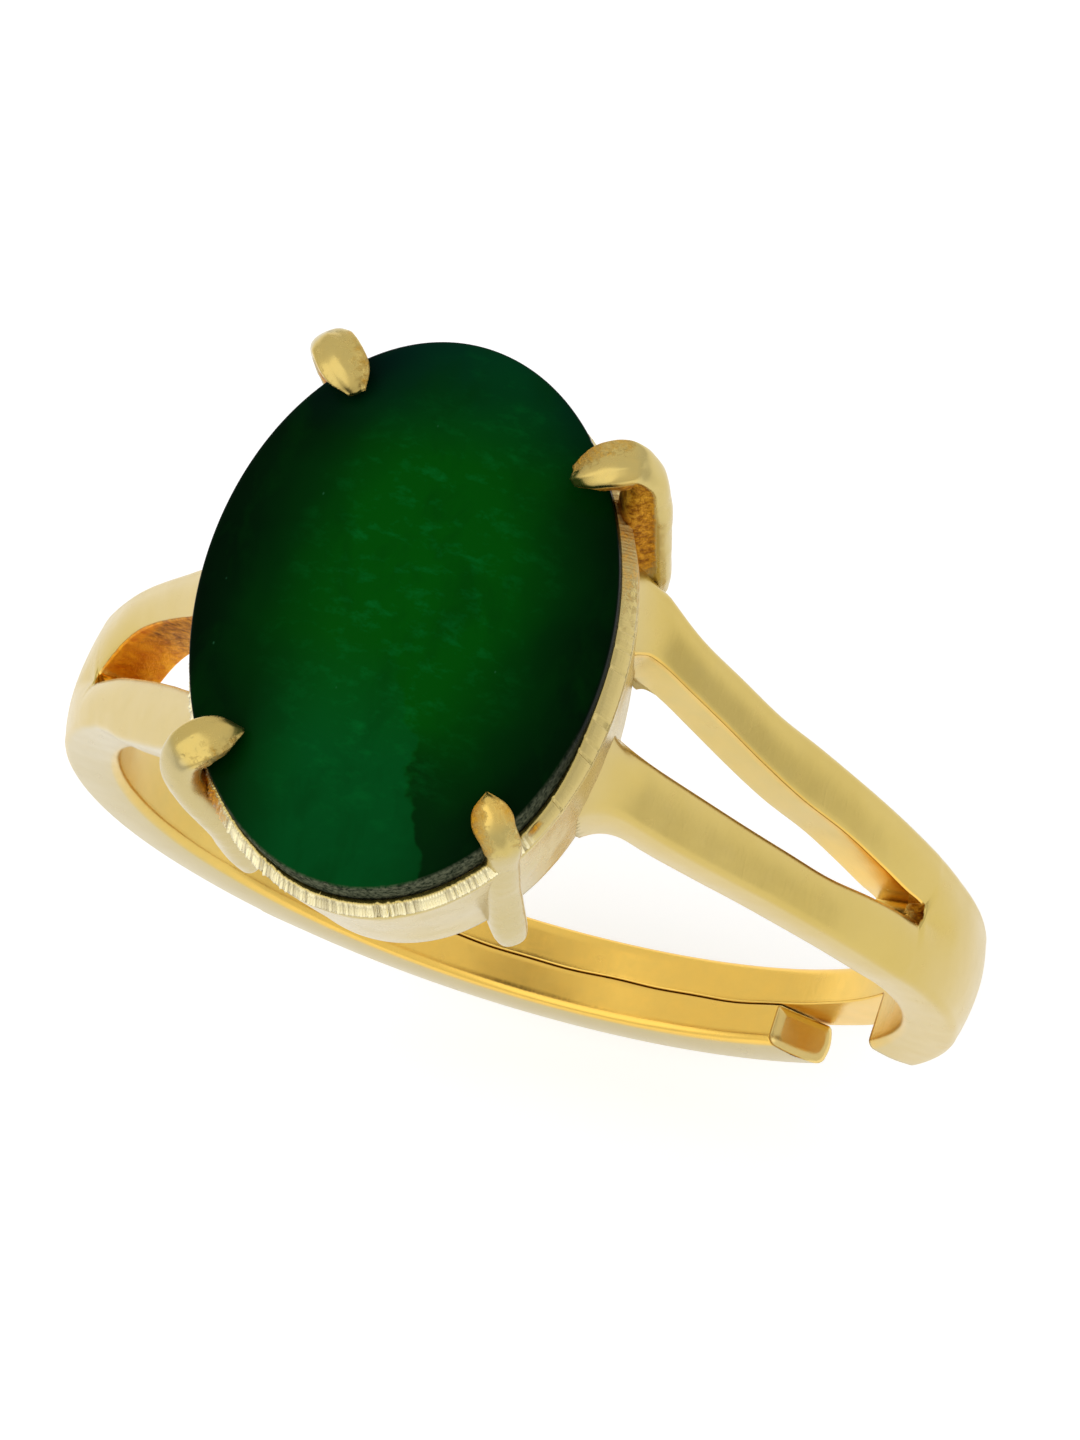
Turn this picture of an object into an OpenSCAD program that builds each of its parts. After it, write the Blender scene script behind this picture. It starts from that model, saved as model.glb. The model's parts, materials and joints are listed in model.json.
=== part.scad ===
// Adjustable cocktail ring: a large oval stone in a four-claw setting on a split, bypassing shank.
// Frame: the finger runs along Y, +Z points out through the stone, +X is the wearer's right.
// The origin is the centre of the finger bore. Each left-hand band piece is the right-hand one turned
// half a turn about Z, but the left fork stands further towards its long half, as hand fitting left it.

/* [Band] */
// Inner diameter of the band, around the finger
finger_d = 17.5; // [16:0.1:20]
// Thickness of the band
band_t = 1.2; // [1:0.05:1.5]
// Width of the band beside the finger, below the fork
band_w = 2.7; // [2.4:0.05:3.2]
// How far the band is set off the middle, towards its shortened half
band_sway = 0.3; // [0:0.05:0.4]
// Width of the band where the stub ends
stub_w = 2.15; // [1.9:0.05:2.4]
// Width of each tail behind the finger
tail_w = 0.9; // [0.7:0.05:1.1]
// Gap between the two tails that lie side by side
tail_gap = 0.07; // [0.04:0.01:0.12]
// Angle below the side of the finger at which the right stub ends
stub_angle = 34; // [28:1:38]
// Angle below the side of the finger at which the left stub ends
left_stub_angle = 45; // [28:1:48]
// Angle past the side of the finger at which the tail ends
tail_angle = 124.5; // [115:0.5:132]

/* [Fork] */
// Angle above the side of the finger at which the band forks
fork_angle = 18; // [12:1:20]
// Angle above the side at which the arms leave the finger's circle
arm_angle = 33; // [26:1:35]
// Distance across the outside of both arms, at the collet
arm_span = 4.95; // [4.4:0.05:5.2]
// Gap between the two arms, at the collet
arm_gap = 2.15; // [1.6:0.05:2.4]
// Width of the slot between the arms, at its blunt lower end
slot_w = 0.5; // [0.3:0.05:0.7]
// How far the head of the right fork is set towards its long half
right_shift = 0.2; // [0:0.05:0.4]
// How far the head of the left fork is set towards its long half
left_shift = 1; // [0:0.05:1.1]
// Thickness of an arm where it meets the collet
arm_t = 1.3; // [1.2:0.05:1.8]

/* [Collet] */
// Height of the collet's lower rim above the finger's centre
collet_z = 10.4; // [10.2:0.05:11]
// Height of the collet's wall
collet_h = 4; // [3.6:0.05:4.4]
// Thickness of the collet's wall at its lower rim
collet_wall = 0.4; // [0.3:0.05:0.5]
// How far the outside of the wall leans in from the upper rim to the lower one
collet_lean = 0.7; // [0.4:0.05:0.8]
// Height of the bright-cut bevel round the upper rim
bevel_h = 0.3; // [0.2:0.05:0.4]
// Width of the bright-cut bevel
bevel_w = 0.16; // [0.1:0.02:0.2]
// Degrees by which the collet and stone are turned on the fork
setting_turn = 5; // [0:0.5:6]
// How far the collet and stone are set towards the front
setting_shift = 0.2; // [0:0.05:0.25]

/* [Stone] */
// Width of the stone, across the finger
stone_w = 8.9; // [8.5:0.1:9.3]
// Length of the stone, along the finger
stone_l = 12.15; // [11.6:0.05:12.6]
// Height of the top edge of the stone's girdle above the finger's centre
girdle_z = 15; // [14.9:0.05:15.2]
// Height of the girdle's upright band
girdle_h = 1.25; // [1.1:0.05:1.3]
// Rise of the low dome above the girdle
dome_h = 0.9; // [0.6:0.05:1.1]

/* [Claws] */
// Radius of a claw's leg at the shoulder
claw_r = 0.45; // [0.38:0.01:0.5]
// Radius of a claw's rounded foot
foot_r = 0.36; // [0.3:0.01:0.42]

/* [Hidden] */

GOLD = [0.83, 0.73, 0.46];
PALE_GOLD = [0.86, 0.80, 0.62];
EMERALD = [0.02, 0.27, 0.09];
OVAL_SIDES = 64;
$fn = 96;

// Band
bore_r = finger_d / 2;
band_r = bore_r + band_t;
deep = 40;                        // longer than any piece, for cutting prisms
hinge_x = bore_r + band_t / 2;    // the axis that the band bends about, beside the finger
knuckle_r = band_t / 2;
knuckle_gap = 0.02;               // radial running clearance round the knuckle
seat_z = band_t / 4;              // height of the seat's lips above the hinge axis
band_front = -band_w / 2 - band_sway;
band_rear = band_w / 2 - band_sway;
stub_front = -stub_w / 2 - band_sway / 3;
stub_rear = stub_w / 2 - band_sway / 3;

// Fork
fork_x = band_r * cos(fork_angle) + 0.05;
arm_len = 8.6;                    // straight part of an arm, up to the collet
arm_blend = 3;                    // degrees by which the round and straight parts of an arm overlap
arm_foot_out = (band_r - 0.01) * [cos(arm_angle), sin(arm_angle)];
arm_foot_in = (bore_r - 0.05) * [cos(arm_angle), sin(arm_angle)];
arm_head_out = arm_foot_out + arm_len * [-sin(arm_angle), cos(arm_angle)];
arm_head_in = arm_head_out - arm_t * [cos(arm_angle), sin(arm_angle)];
arm_root_x = 3.6;                 // where the arms' plan starts, inside the collet

// Stone and collet: every oval keeps an even margin to the girdle
girdle_a = stone_w / 2;
girdle_b = stone_l / 2;
rim_z = collet_z + collet_h;
seat_margin = 0.04;               // clearance between the girdle and the collet
rim_margin = 0.3;                 // widest part of the collet's wall, outside the girdle
dome_steps = 6;
pavilion_z = 13.1;                // the stone rests on the bearer at this height
pavilion_margin = -1.0;
culet_z = 11.6;
culet_a = 1.5;
culet_b = 2.6;
bearer_h = 0.7;
bearer_z = 13.07;                 // top of the bearer
bearer_margin = -0.95;
bearer_gap = 0.01;
wall_in_low = rim_margin - collet_lean - collet_wall;
recess_z = girdle_z - girdle_h - 0.1;

// Claws: foot, shoulder, the bend over the girdle and the tip of each one
FRONT_RIGHT = [[2.9, -4.75, 10], [3.4, -4.5, 14.9], [3.2, -4.15, 15.5], [3, -3.75, 15.4]];
REAR_RIGHT = [[3.8, 3.15, 11.2], [4.05, 3.75, 14.95], [3.75, 3.75, 15.55], [2.8, 3.45, 15.47]];
FRONT_LEFT = [[-2.7, -4.75, 10.2], [-3.35, -4.5, 14.9], [-3.15, -4.25, 15.5], [-2.45, -3.65, 15.4]];
REAR_LEFT = [[-2.95, 4.6, 10], [-3.15, 4.9, 14.9], [-2.9, 4.65, 15.5], [-2.35, 4.2, 15.4]];
bend_r = 0.42;
tip_r = 0.13;
CLAW_SIDES = 24;

function oval(a, b) =
    [for (i = [0:OVAL_SIDES - 1]) let (t = 360 * i / OVAL_SIDES) [a * cos(t), b * sin(t)]];

// An oval solid through a list of levels, from the lowest up, each [height, half width, half length]
module oval_loft(levels) {
    n = OVAL_SIDES;
    top = (len(levels) - 1) * n;
    points = [for (level = levels) for (p = oval(level[1], level[2])) [p[0], p[1], level[0]]];
    sides = [for (k = [0:len(levels) - 2]) for (i = [0:n - 1])
             let (lo = k * n, j = (i + 1) % n)
             each [[lo + i, lo + n + i, lo + n + j], [lo + i, lo + n + j, lo + j]]];
    polyhedron(points = points,
               faces = concat([[for (i = [0:n - 1]) i]], sides, [[for (i = [n - 1:-1:0]) top + i]]),
               convexity = 4);
}

// A level that keeps an even margin outside the girdle's outline
function level(z, margin) = [z, girdle_a + margin, girdle_b + margin];

// The collet, bearer and stone sit a little turned and towards the front, as they were soldered on
module set_on_fork() {
    translate([0, -setting_shift, 0]) rotate([0, 0, setting_turn]) children();
}

// Stone: low dome, upright girdle, and a pavilion that rests on the bearer
function dome_level(i) =
    let (shrink = 1 - pow(i / (dome_steps + 1), 2))
    [girdle_z + dome_h * (1 - pow(shrink, 2)), girdle_a * shrink, girdle_b * shrink];

module stone() {
    color(EMERALD) set_on_fork() oval_loft(concat(
        [[culet_z, culet_a, culet_b], level(pavilion_z, pavilion_margin), level(girdle_z - girdle_h, 0)],
        [for (i = [0:dome_steps]) dome_level(i)]));
}

// Collet: an oval wall that leans in downwards, bevelled round its upper rim
module collet_blank() {
    oval_loft([level(collet_z, rim_margin - collet_lean),
               level(rim_z - bevel_h, rim_margin),
               level(rim_z, rim_margin - bevel_w)]);
}

module collet() {
    color(PALE_GOLD) set_on_fork() difference() {
        collet_blank();
        oval_loft([level(collet_z - 1, wall_in_low),
                   level(collet_z, wall_in_low),
                   level(recess_z, seat_margin),
                   level(rim_z + 1, seat_margin)]);
    }
}

// Bearer: the ledge soldered inside the collet, which carries the stone
function wall_in(z) = wall_in_low + (seat_margin - wall_in_low) * (z - collet_z) / (recess_z - collet_z);

module bearer() {
    color(GOLD) set_on_fork() difference() {
        oval_loft([level(bearer_z - bearer_h, wall_in(bearer_z - bearer_h) - bearer_gap),
                   level(bearer_z, wall_in(bearer_z) - bearer_gap)]);
        oval_loft([level(bearer_z - 2 * bearer_h, bearer_margin),
                   level(bearer_z + bearer_h, bearer_margin)]);
    }
}

// Claws: a leg that stands off the collet, bent over the girdle to a pointed head
module ball(p, r) {
    translate(p) sphere(r = r, $fn = CLAW_SIDES);
}

// The notch cut in each claw for the girdle and the dome
function within(z, k) = [z, girdle_a * k, girdle_b * k];

module stone_room() {
    set_on_fork() oval_loft([level(girdle_z - 1, 0.02), level(girdle_z + 0.02, 0.02),
                             within(15.25, 0.87), within(15.62, 0.6), within(15.95, 0.2)]);
}

module claw(points) {
    color(GOLD) difference() {
        union() {
            hull() {
                ball(points[0], foot_r);
                ball(points[1], claw_r);
            }
            hull() {
                ball(points[1], claw_r);
                ball(points[2], bend_r);
            }
            hull() {
                ball(points[2], bend_r);
                ball(points[3], tip_r);
            }
        }
        set_on_fork() collet_blank();
        stone_room();
    }
}

// Prisms used to cut the band: side view seen along Y, and plan seen along Z
module side_prism(points) {
    rotate([90, 0, 0]) linear_extrude(height = deep, center = true) polygon(points);
}

module plan_prism(points) {
    linear_extrude(height = deep, center = true) polygon(points);
}

module y_cylinder(r, length = deep) {
    rotate([90, 0, 0]) cylinder(r = r, h = length, center = true);
}

// A wedge of the XZ plane between two angles less than half a turn apart
module wedge(a0, a1) {
    mid = (a0 + a1) / 2;
    side_prism([[0, 0], deep * [cos(a0), sin(a0)], deep * [cos(mid), sin(mid)], deep * [cos(a1), sin(a1)]]);
}

// An arm of the right-hand fork. The plan runs from the collet out to the crotch.
module arm_right(root_y0, root_y1, crotch_y0, crotch_y1) {
    difference() {
        intersection() {
            union() {
                intersection() {
                    y_cylinder(band_r);
                    wedge(fork_angle, arm_angle + arm_blend);
                }
                side_prism([arm_foot_in, arm_foot_out, arm_head_out, arm_head_in]);
            }
            plan_prism([[arm_root_x, root_y0], [fork_x, crotch_y0], [band_r + 1, crotch_y0],
                        [band_r + 1, crotch_y1], [fork_x, crotch_y1], [arm_root_x, root_y1]]);
        }
        y_cylinder(bore_r);
    }
}

module short_side_arm(shift) {
    arm_right(shift - arm_span / 2, shift - arm_gap / 2, band_front, -band_sway - slot_w / 2);
}

module long_side_arm(shift) {
    arm_right(shift + arm_gap / 2, shift + arm_span / 2, -band_sway + slot_w / 2, band_rear);
}

// The solid shoulder below the crotch, with the seat for the knuckle
module shoulder() {
    color(PALE_GOLD) difference() {
        intersection() {
            y_cylinder(band_r);
            wedge(-fork_angle, fork_angle);
            translate([0, band_front, seat_z]) cube([deep, band_w, deep]);
        }
        y_cylinder(bore_r);
        translate([hinge_x, 0, 0]) y_cylinder(knuckle_r + knuckle_gap);
    }
}

// The lower shank: full width down to the stub, then only the long half goes on as the tail
module shank(angle) {
    stub_x = bore_r * cos(angle) - 0.1;
    color(PALE_GOLD) {
        difference() {
            intersection() {
                y_cylinder(band_r);
                wedge(-angle, 0);
                plan_prism([[0, stub_front], [stub_x, stub_front], [band_r, band_front],
                            [band_r, band_rear], [stub_x, stub_rear], [0, stub_rear]]);
            }
            y_cylinder(bore_r);
        }
        difference() {
            intersection() {
                y_cylinder(band_r);
                wedge(-tail_angle, -angle + 1);
                plan_prism([[-band_r, tail_gap / 2], [band_r, tail_gap / 2],
                            [band_r, tail_w], [-band_r, tail_w]]);
            }
            y_cylinder(bore_r);
        }
        translate([hinge_x, -band_sway, 0]) y_cylinder(knuckle_r, band_w);
    }
}

module half_turn() {
    rotate([0, 0, 180]) children();
}

// Arms end against the outside of the collet
module up_to_collet() {
    color(PALE_GOLD) difference() {
        children();
        set_on_fork() collet_blank();
    }
}

stone();
collet();
bearer();
claw(FRONT_LEFT);  // claw_front_left
claw(FRONT_RIGHT);  // claw_front_right
claw(REAR_LEFT);  // claw_rear_left
claw(REAR_RIGHT);  // claw_rear_right
up_to_collet() half_turn() long_side_arm(left_shift);  // arm_front_left
up_to_collet() half_turn() short_side_arm(left_shift);  // arm_rear_left
up_to_collet() short_side_arm(right_shift);  // arm_front_right
up_to_collet() long_side_arm(right_shift);  // arm_rear_right
half_turn() shoulder();  // shoulder_left
shoulder();  // shoulder_right
half_turn() shank(left_stub_angle);  // shank_left
shank(stub_angle);  // shank_right
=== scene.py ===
"""Cocktail ring: a large oval green stone in a four-claw collet on a split, bypassing gold shank.

Lengths in this script are millimetres in the CAD frame, with the finger along Y and the stone towards +Z,
until a mesh is made.
"""
import json
import math

import bmesh
import bpy
import numpy as np
from mathutils import Matrix, Vector, noise

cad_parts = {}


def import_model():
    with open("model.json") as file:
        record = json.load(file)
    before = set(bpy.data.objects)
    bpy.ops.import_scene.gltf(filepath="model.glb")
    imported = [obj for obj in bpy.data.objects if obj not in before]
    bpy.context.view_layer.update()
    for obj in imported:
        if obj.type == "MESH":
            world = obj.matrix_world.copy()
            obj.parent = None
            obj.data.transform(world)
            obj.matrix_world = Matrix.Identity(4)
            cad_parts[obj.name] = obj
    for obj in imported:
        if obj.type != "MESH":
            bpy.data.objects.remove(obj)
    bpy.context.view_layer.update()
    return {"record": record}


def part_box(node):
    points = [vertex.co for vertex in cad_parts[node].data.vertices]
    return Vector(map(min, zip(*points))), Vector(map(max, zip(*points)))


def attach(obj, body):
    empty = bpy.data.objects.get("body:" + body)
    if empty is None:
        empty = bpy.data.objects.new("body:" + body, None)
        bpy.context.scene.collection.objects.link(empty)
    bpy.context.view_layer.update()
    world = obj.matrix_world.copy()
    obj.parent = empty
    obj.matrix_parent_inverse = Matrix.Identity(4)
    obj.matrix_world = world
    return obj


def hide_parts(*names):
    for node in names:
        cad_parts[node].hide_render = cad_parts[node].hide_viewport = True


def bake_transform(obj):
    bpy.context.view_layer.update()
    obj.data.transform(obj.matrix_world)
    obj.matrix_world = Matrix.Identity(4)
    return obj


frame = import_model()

MM = 0.001


# ---------------------------------------------------------------- driving dimensions, from the frame

def node_box(node):
    """Lowest and highest corner of a CAD node, in millimetres."""
    lo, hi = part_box(node)
    return np.array(lo) / MM, np.array(hi) / MM


BORE_R = next(m["dims"]["r_mm"] for m in frame["record"]["mounts"] if m["name"] == "finger_bore")
BAND_R = -node_box("shank_right")[0][2]
BAND_T = BAND_R - BORE_R
TAIL_GAP = 0.024
COLLET_LOW, COLLET_HIGH = node_box("collet")
STONE_HIGH = node_box("stone")[1]
BEARER_LOW, BEARER_HIGH = node_box("bearer")
GIRDLE_A, GIRDLE_B = 4.45, 6.075      # half axes of the stone's outline
GIRDLE_TOP = 15.0                     # height of the stone's crisp upper edge
GIRDLE_H = 1.25
SEAT_TURN = math.radians(5)           # the collet and stone are turned this much on the fork
SEAT_Y = -0.2                         # and set this far towards the front
WALL_SHIFT = (0.08, -0.10)            # the stone does not sit quite in the middle of the collet

# The collet's wall. Margins are measured outwards from the stone's outline.
COLLET_Z = COLLET_LOW[2]
RIM_Z = COLLET_HIGH[2]
BEVEL_H = 0.30                        # height of the bright-cut bevel under the rim
BEVEL_Z = RIM_Z - BEVEL_H
WALL_HIGH, WALL_LOW = 0.21, -0.48     # margin of the outer face at the bevel and at the bottom
WALL_T = 0.30
RIM_IN = 0.18                         # how far the bevel runs inwards
RECESS = 0.04                         # margin of the recess that the girdle sits in
RECESS_Z = 13.65                      # the recess starts at this height


# ---------------------------------------------------------------- helpers

def smooth_rows(rows, s):
    """Columns of rows after the first, as smooth functions of the first column, at each s."""
    table = np.array(rows, float)
    table = table[np.argsort(table[:, 0])]
    x, y = table[:, 0], table[:, 1:]
    slope = np.gradient(y, x, axis=0)
    s = np.clip(np.atleast_1d(s), x[0], x[-1])
    i = np.clip(np.searchsorted(x, s, side="right") - 1, 0, len(x) - 2)
    h = (x[i + 1] - x[i])[:, None]
    t = ((s - x[i]) / (x[i + 1] - x[i]))[:, None]
    return ((2 * t**3 - 3 * t**2 + 1) * y[i] + (t**3 - 2 * t**2 + t) * h * slope[i]
            + (3 * t**2 - 2 * t**3) * y[i + 1] + (t**3 - t**2) * h * slope[i + 1])


def ease(t):
    """Smooth step from 0 to 1."""
    t = np.clip(t, 0, 1)
    return t * t * (3 - 2 * t)


def unit(v):
    return v / np.linalg.norm(v, axis=-1, keepdims=True)


def grain(p, scale, seed):
    """Smooth random value about -1 to 1 at a point."""
    return noise.noise(Vector((p[0] * scale + seed, p[1] * scale - seed, p[2] * scale + 2 * seed)))


class Shell:
    """A closed surface put together from shared points and faces."""

    def __init__(self):
        self.points, self.faces = [], []
        self.tones = {"stain": [], "warm": [], "pale": [], "bright": []}

    def add(self, points, stain=0.0, warm=0.0, pale=0.0, bright=0.0):
        """Indices of new points. The tones are kept per point for the materials."""
        start = len(self.points)
        self.points.extend(np.asarray(points, float).reshape(-1, 3))
        for name, value in (("stain", stain), ("warm", warm), ("pale", pale), ("bright", bright)):
            self.tones[name].extend(np.broadcast_to(value, (len(self.points) - start,)))
        return list(range(start, len(self.points)))

    def strip(self, a, b, closed=False):
        """Quads between two rows of the same length."""
        n = len(a)
        for k in range(n if closed else n - 1):
            j = (k + 1) % n
            quad = [a[k], a[j], b[j], b[k]]
            face = [v for i, v in enumerate(quad) if v != quad[i - 1]]
            if len(face) > 2:
                self.faces.append(face)

    def object(self, name, *materials):
        mesh = bpy.data.meshes.new(name)
        mesh.from_pydata([tuple(p * MM) for p in self.points], [], self.faces)
        for tone, values in self.tones.items():
            made = mesh.attributes.new(tone, "FLOAT", "POINT")
            made.data.foreach_set("value", np.array(values, np.float32))
        made = bmesh.new()
        made.from_mesh(mesh)
        bmesh.ops.recalc_face_normals(made, faces=made.faces)
        made.to_mesh(mesh)
        made.free()
        mesh.shade_smooth()
        for m in materials:
            mesh.materials.append(m)
        obj = bpy.data.objects.new(name, mesh)
        bpy.context.scene.collection.objects.link(obj)
        return obj


# ---------------------------------------------------------------- materials

class Nodes:
    """Short calls for building one material's node tree. Textures read object space in millimetres."""

    def __init__(self, name):
        self.material = bpy.data.materials.new(name)
        self.material.use_nodes = True
        self.tree = self.material.node_tree
        self.shader = self.tree.nodes["Principled BSDF"]
        place = self.tree.nodes.new("ShaderNodeTexCoord")
        scale = self.tree.nodes.new("ShaderNodeVectorMath")
        scale.operation = "SCALE"
        scale.inputs["Scale"].default_value = 1 / MM
        self.tree.links.new(place.outputs["Object"], scale.inputs[0])
        self.place = scale.outputs[0]

    def node(self, kind, settings=(), **inputs):
        made = self.tree.nodes.new("ShaderNode" + kind)
        for key, value in dict(settings).items():
            setattr(made, key, value)
        for key, value in inputs.items():
            socket = made.inputs[int(key[1:])] if key[1:].isdigit() else made.inputs[key.replace("_", " ")]
            if hasattr(value, "is_output"):
                self.tree.links.new(value, socket)
            else:
                socket.default_value = value
        return made

    def math(self, operation, a, b=0.0, clamp=False):
        return self.node("Math", {"operation": operation, "use_clamp": clamp}, i0=a, i1=b).outputs[0]

    def noise(self, scale, detail=3.0, rough=0.5, stretch=None, warp=0.0, turn=(0, 0, 0)):
        at = self.place
        if stretch:
            at = self.node("Mapping", {}, Vector=at, Scale=stretch, Rotation=turn).outputs[0]
        return self.node("TexNoise", {}, Vector=at, Scale=scale, Detail=detail, Roughness=rough,
                         Distortion=warp).outputs[0]

    def ramp(self, value, *stops):
        made = self.node("ValToRGB", {}, Fac=value)
        points = made.color_ramp.elements
        while len(points) < len(stops):
            points.new(0.5)
        for point, (at, colour) in zip(points, stops):
            point.position = at
            point.color = (*colour, 1)
        return made.outputs[0]

    def grey(self, value, low, high):
        """value from low to high, stretched to 0 to 1."""
        made = self.node("MapRange", {}, Value=value)
        made.inputs["From Min"].default_value = low
        made.inputs["From Max"].default_value = high
        return made.outputs[0]

    def mix(self, amount, a, b, blend="MIX"):
        made = self.node("Mix", {"data_type": "RGBA", "blend_type": blend}, Factor=amount)
        for socket, value in ((made.inputs[6], a), (made.inputs[7], b)):
            if hasattr(value, "is_output"):
                self.tree.links.new(value, socket)
            else:
                socket.default_value = (*value, 1)
        return made.outputs[2]

    def attribute(self, name):
        return self.node("Attribute", {"attribute_name": name}).outputs["Fac"]

    def bump(self, height, strength, distance, under=None):
        made = self.node("Bump", {}, Height=height, Strength=strength, Distance=distance * MM)
        if under:
            self.tree.links.new(under, made.inputs["Normal"])
        return made.outputs[0]

    def set(self, **inputs):
        for key, value in inputs.items():
            socket = self.shader.inputs[key.replace("_", " ")]
            if hasattr(value, "is_output"):
                self.tree.links.new(value, socket)
            else:
                socket.default_value = value
        return self.material


def gold(name, base, rough, pits):
    """Satin gold plate with four tones, read from the mesh: pale, a painted sheen on faces turned to the
    light;
    warm, a more orange gold, which against the finger is painted reflection; bright, painted highlights; and
    stained where cast skin is left, which also carries painted shade at a slot's end and on claw facets."""
    n = Nodes(name)
    clouds = n.grey(n.noise(0.4, 2.0), 0.35, 0.65)
    colour = n.mix(n.math("MULTIPLY", clouds, 0.35), base, (base[0] * 1.08, base[1] * 1.11, base[2] * 1.35))
    speckle = n.grey(n.noise(7.0, 4.0, 0.65), 0.35, 0.75)
    colour = n.mix(n.math("MULTIPLY", speckle, 0.09), colour, (0.50, 0.34, 0.09))
    ragged = n.math("SUBTRACT", n.noise(2.5, 4.0, 0.6), 0.5)
    # pale: painted sheen, broken up at random
    pale = n.math("ADD", n.attribute("pale"), n.math("MULTIPLY", ragged, 0.15), clamp=True)
    colour = n.mix(pale, colour, (0.54, 0.465, 0.275))
    # warm: a more orange gold, painted reflection on the face against the finger
    warm = n.math("ADD", n.attribute("warm"), n.math("MULTIPLY", ragged, 0.3))
    warm = n.grey(warm, 0.08, 1.0)
    colour = n.mix(warm, colour, (1.0, 0.625, 0.118))
    # bright: painted highlights
    colour = n.mix(n.attribute("bright"), colour, (0.97, 0.87, 0.53))
    cast = n.noise(6.0, 6.0, 0.75)
    # stained tone: cast skin, plus painted shade at a slot's end and on claw facets
    stain = n.math("ADD", n.attribute("stain"), n.math("MULTIPLY", n.math("SUBTRACT", cast, 0.5), 1.2))
    stain = n.math("MULTIPLY", n.grey(stain, 0.15, 0.65), n.grey(n.attribute("stain"), 0.0, 0.2))
    rust = n.ramp(cast, (0.30, (0.09, 0.03, 0.003)), (0.45, (0.45, 0.17, 0.008)), (0.60, (0.80, 0.42, 0.035)))
    flame = n.ramp(n.noise(3.0, 4.0, 0.6), (0.35, (0.74, 0.23, 0.003)), (0.65, (1.0, 0.48, 0.018)))
    rust = n.mix(n.grey(n.attribute("warm"), 0.50, 0.72), rust, flame)
    colour = n.mix(stain, colour, rust)
    haze = n.noise(1.4, 3.0, 0.6)
    roughness = n.math("ADD", n.math("MULTIPLY", haze, 0.14), rough - 0.07)
    roughness = n.math("ADD", roughness, n.math("MULTIPLY", stain, 0.22))
    swell = n.bump(n.noise(0.9, 1.0), 0.16, 0.10)
    fine = n.bump(n.noise(16.0, 5.0, 0.7), 0.10, 0.010, swell)
    drawn = n.noise(2.0, 5.0, 0.7, stretch=(9, 1, 1.2), warp=0.2, turn=(0.3, 0.2, 0.5))
    scored = n.bump(n.grey(drawn, 0.52, 0.66), 0.08, 0.010, fine)
    cell = n.node("TexVoronoi", {}, Vector=n.place, Scale=1.7, Randomness=1.0).outputs["Distance"]
    pitted = n.bump(n.grey(cell, 0.05, 0.10), pits, 0.03, scored)
    normal = n.bump(n.math("MULTIPLY", stain, cast), 0.6, 0.12, pitted)
    return n.set(Base_Color=colour, Roughness=roughness, Normal=normal, Metallic=1.0)


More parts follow.
